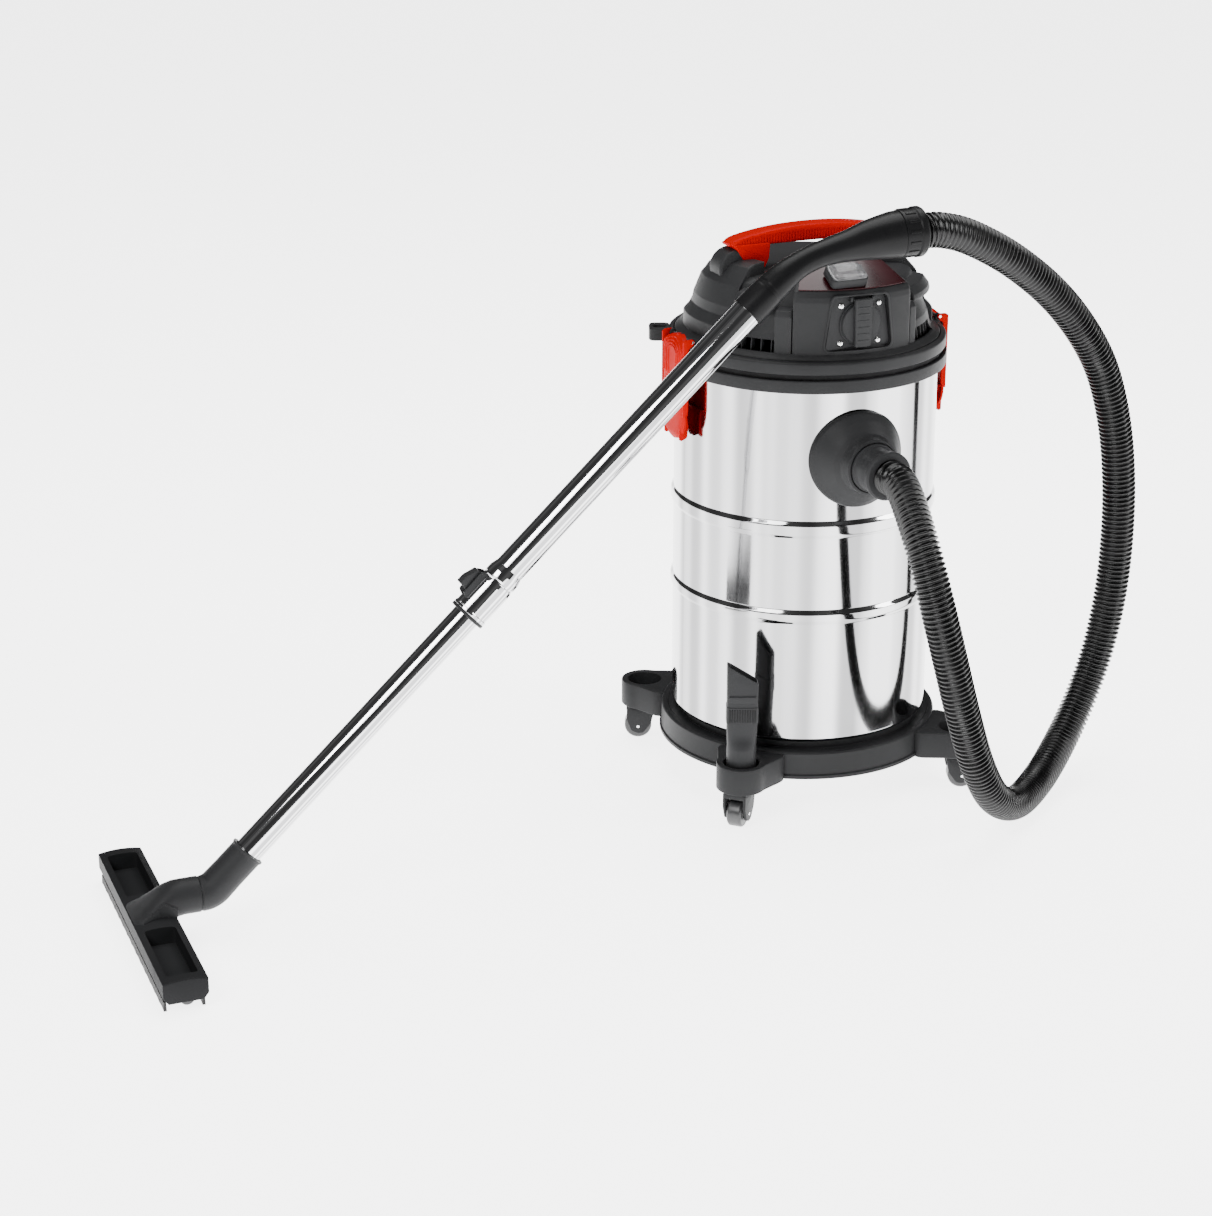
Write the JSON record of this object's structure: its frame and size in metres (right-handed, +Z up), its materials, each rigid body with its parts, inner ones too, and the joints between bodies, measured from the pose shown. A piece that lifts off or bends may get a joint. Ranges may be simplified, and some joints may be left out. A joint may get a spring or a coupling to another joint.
{
  "type": "shop vacuum",
  "caption": "Wet and dry shop vacuum: steel drum on a castor base, clamped motor head, ribbed hose, telescopic wand and floor nozzle.",
  "frame": {"origin": "on the floor, on the axis of the drum", "axes": "+Z up along the drum; -Y is the front, with the suction inlet; the two clamps are on the X axis; the wand stands along X in front of the drum"},
  "size_m": [1.2538, 0.5308, 0.732],
  "materials": {
    "accessory_tool_finish": "fine grained black moulding",
    "base_ring_finish": "fine grained black moulding",
    "brush_strip_front_finish": "black rubber",
    "brush_strip_rear_finish": "black rubber",
    "cable_gland_finish": "black rubber",
    "carry_handle_finish": "semi-gloss red moulding",
    "castor_axle_front_left_finish": "polished stainless steel",
    "castor_axle_front_right_finish": "polished stainless steel",
    "castor_axle_rear_left_finish": "polished stainless steel",
    "castor_axle_rear_right_finish": "polished stainless steel",
    "castor_fork_front_left_finish": "fine grained black moulding",
    "castor_fork_front_right_finish": "fine grained black moulding",
    "castor_fork_rear_left_finish": "fine grained black moulding",
    "castor_fork_rear_right_finish": "fine grained black moulding",
    "castor_wheel_front_left_finish": "black rubber",
    "castor_wheel_front_right_finish": "black rubber",
    "castor_wheel_rear_left_finish": "black rubber",
    "castor_wheel_rear_right_finish": "black rubber",
    "container_rim_finish": "fine grained black moulding",
    "drum_finish": "polished stainless steel",
    "filter_cage_finish": "fine grained black moulding",
    "filter_element_finish": "pleated filter paper",
    "flap_pin_finish": "polished stainless steel",
    "float_ball_finish": "white moulding",
    "grip_finish": "fine grained black moulding",
    "head_base_finish": "fine grained black moulding",
    "head_cover_finish": "fine grained black moulding",
    "head_panel_finish": "polished dark red panel",
    "head_seal_finish": "black rubber",
    "hose_finish": "fine grained black moulding",
    "hose_grip_cuff_finish": "fine grained black moulding",
    "hose_inlet_cuff_finish": "fine grained black moulding",
    "impeller_finish": "polished stainless steel",
    "inlet_flange_finish": "fine grained black moulding",
    "latch_left_finish": "semi-gloss red moulding",
    "latch_pin_left_finish": "polished stainless steel",
    "latch_pin_right_finish": "polished stainless steel",
    "latch_right_finish": "semi-gloss red moulding",
    "lower_tube_finish": "polished chrome plate",
    "motor_housing_finish": "plain steel",
    "motor_stator_finish": "plain steel",
    "nozzle_body_finish": "fine grained black moulding",
    "nozzle_elbow_finish": "fine grained black moulding",
    "release_button_finish": "fine grained black moulding",
    "roller_far_finish": "fine grained dark grey moulding",
    "roller_near_finish": "fine grained dark grey moulding",
    "rotor_shaft_finish": "plain steel",
    "socket_flap_finish": "fine grained black moulding",
    "socket_insert_finish": "fine grained dark grey moulding",
    "socket_plate_finish": "fine grained dark grey moulding",
    "socket_screw_1_finish": "polished chrome plate",
    "socket_screw_2_finish": "polished chrome plate",
    "socket_screw_3_finish": "polished chrome plate",
    "socket_screw_4_finish": "polished chrome plate",
    "switch_cover_finish": "clear flexible plastic",
    "switch_housing_finish": "fine grained black moulding",
    "switch_rocker_finish": "semi-gloss red moulding",
    "tube_collar_finish": "polished chrome plate",
    "upper_tube_finish": "polished chrome plate"
  },
  "bodies": {
    "container": {"drum": "drum_finish", "container_rim": "container_rim_finish", "inlet_flange": "inlet_flange_finish", "hose_inlet_cuff": "hose_inlet_cuff_finish", "base_ring": "base_ring_finish", "hose": "hose_finish"},
    "head": {"head_base": "head_base_finish", "head_cover": "head_cover_finish", "carry_handle": "carry_handle_finish", "socket_plate": "socket_plate_finish", "socket_insert": "socket_insert_finish", "socket_screw_1": "socket_screw_1_finish", "socket_screw_2": "socket_screw_2_finish", "socket_screw_3": "socket_screw_3_finish", "socket_screw_4": "socket_screw_4_finish", "switch_housing": "switch_housing_finish", "switch_cover": "switch_cover_finish", "head_panel": "head_panel_finish", "motor_housing": "motor_housing_finish", "motor_stator": "motor_stator_finish", "head_seal": "head_seal_finish", "filter_cage": "filter_cage_finish", "filter_element": "filter_element_finish", "cable_gland": "cable_gland_finish", "latch_pin_left": "latch_pin_left_finish", "latch_pin_right": "latch_pin_right_finish", "flap_pin": "flap_pin_finish"},
    "rotor": {"rotor_shaft": "rotor_shaft_finish", "impeller": "impeller_finish"},
    "socket_cover": {"socket_flap": "socket_flap_finish"},
    "rocker": {"switch_rocker": "switch_rocker_finish"},
    "clamp_left": {"latch_left": "latch_left_finish"},
    "clamp_right": {"latch_right": "latch_right_finish"},
    "float": {"float_ball": "float_ball_finish"},
    "wand": {"grip": "grip_finish", "upper_tube": "upper_tube_finish", "tube_collar": "tube_collar_finish", "hose_grip_cuff": "hose_grip_cuff_finish"},
    "button": {"release_button": "release_button_finish"},
    "lower_wand": {"lower_tube": "lower_tube_finish", "nozzle_elbow": "nozzle_elbow_finish"},
    "nozzle": {"nozzle_body": "nozzle_body_finish", "brush_strip_front": "brush_strip_front_finish", "brush_strip_rear": "brush_strip_rear_finish"},
    "far_roller": {"roller_far": "roller_far_finish"},
    "near_roller": {"roller_near": "roller_near_finish"},
    "tool": {"accessory_tool": "accessory_tool_finish"},
    "castor_rear_right": {"castor_fork_rear_right": "castor_fork_rear_right_finish", "castor_axle_rear_right": "castor_axle_rear_right_finish"},
    "wheel_rear_right": {"castor_wheel_rear_right": "castor_wheel_rear_right_finish"},
    "castor_rear_left": {"castor_fork_rear_left": "castor_fork_rear_left_finish", "castor_axle_rear_left": "castor_axle_rear_left_finish"},
    "wheel_rear_left": {"castor_wheel_rear_left": "castor_wheel_rear_left_finish"},
    "castor_front_left": {"castor_fork_front_left": "castor_fork_front_left_finish", "castor_axle_front_left": "castor_axle_front_left_finish"},
    "wheel_front_left": {"castor_wheel_front_left": "castor_wheel_front_left_finish"},
    "castor_front_right": {"castor_fork_front_right": "castor_fork_front_right_finish", "castor_axle_front_right": "castor_axle_front_right_finish"},
    "wheel_front_right": {"castor_wheel_front_right": "castor_wheel_front_right_finish"}
  },
  "joints": [
    {"name": "head_lift", "type": "slide", "parent": "container", "child": "head", "axis": [0, 0, 1], "range_m": [0, 0.3]},
    {"name": "rotor_spin", "type": "hinge", "parent": "head", "child": "rotor", "pos_m": [0, 0, 0.57], "axis": [0, 0, 1], "continuous": true},
    {"name": "socket_cover_hinge", "type": "hinge", "parent": "head", "child": "socket_cover", "pos_m": [-0.005, -0.1451, 0.62], "axis": [-1, 0, 0], "range_deg": [0, 90], "stiffness_Nm_per_rad": 0.002, "springref_deg": -20.05},
    {"name": "switch_rock", "type": "hinge", "parent": "head", "child": "rocker", "pos_m": [-0.019, -0.13116, 0.64539], "axis": [1, 0, 0], "range_deg": [-8, 8]},
    {"name": "clamp_left_hinge", "type": "hinge", "parent": "head", "child": "clamp_left", "pos_m": [-0.1607, 0, 0.5575], "axis": [0, 1, 0], "range_deg": [0, 60]},
    {"name": "clamp_right_hinge", "type": "hinge", "parent": "head", "child": "clamp_right", "pos_m": [0.1607, 0, 0.5575], "axis": [0, -1, 0], "range_deg": [0, 60]},
    {"name": "float_rise", "type": "slide", "parent": "head", "child": "float", "axis": [0, 0, 1], "range_m": [0, 0.07]},
    {"name": "swivel_rear_right", "type": "hinge", "parent": "container", "child": "castor_rear_right", "pos_m": [0.14354, 0.14354, 0.05], "axis": [0, 0, 1], "continuous": true},
    {"name": "roll_rear_right", "type": "hinge", "parent": "castor_rear_right", "child": "wheel_rear_right", "pos_m": [0.14754, 0.15047, 0.017], "axis": [-0.866, 0.5, 0], "continuous": true},
    {"name": "swivel_rear_left", "type": "hinge", "parent": "container", "child": "castor_rear_left", "pos_m": [-0.14354, 0.14354, 0.05], "axis": [0, 0, 1], "continuous": true},
    {"name": "roll_rear_left", "type": "hinge", "parent": "castor_rear_left", "child": "wheel_rear_left", "pos_m": [-0.15091, 0.14667, 0.017], "axis": [-0.3907, -0.9205, 0], "continuous": true},
    {"name": "swivel_front_left", "type": "hinge", "parent": "container", "child": "castor_front_left", "pos_m": [-0.14354, -0.14354, 0.05], "axis": [0, 0, 1], "continuous": true},
    {"name": "roll_front_left", "type": "hinge", "parent": "castor_front_left", "child": "wheel_front_left", "pos_m": [-0.1492, -0.1492, 0.017], "axis": [0.7071, -0.7071, 0], "continuous": true},
    {"name": "swivel_front_right", "type": "hinge", "parent": "container", "child": "castor_front_right", "pos_m": [0.14354, -0.14354, 0.05], "axis": [0, 0, 1], "continuous": true},
    {"name": "roll_front_right", "type": "hinge", "parent": "castor_front_right", "child": "wheel_front_right", "pos_m": [0.15106, -0.14628, 0.017], "axis": [0.342, 0.9397, 0], "continuous": true},
    {"name": "wand_draw_off", "type": "slide", "parent": "container", "child": "wand", "axis": [-0.0227, -0.9997, 0], "range_m": [0, 0.15], "deforming": ["hose"]},
    {"name": "release_press", "type": "slide", "parent": "wand", "child": "button", "axis": [0.6844, -0.0155, -0.729], "range_m": [0, 0.003], "stiffness_N_per_m": 400, "springref_m": -0.002},
    {"name": "tube_telescope", "type": "slide", "parent": "wand", "child": "lower_wand", "axis": [0.7288, -0.0165, 0.6845], "range_m": [0, 0.25]},
    {"name": "nozzle_swivel", "type": "hinge", "parent": "lower_wand", "child": "nozzle", "pos_m": [-0.83051, -0.17768, 0.047], "axis": [0.9997, -0.0227, 0], "range_deg": [-90, 90]},
    {"name": "far_roller_roll", "type": "hinge", "parent": "nozzle", "child": "far_roller", "pos_m": [-0.8501, -0.0272, 0.008], "axis": [0.0227, 0.9997, 0], "continuous": true},
    {"name": "near_roller_roll", "type": "hinge", "parent": "nozzle", "child": "near_roller", "pos_m": [-0.8569, -0.32712, 0.008], "axis": [0.0227, 0.9997, 0], "continuous": true},
    {"name": "tool_lift", "type": "slide", "parent": "container", "child": "tool", "axis": [0, 0, 1], "range_m": [0, 0.12]}
  ]
}
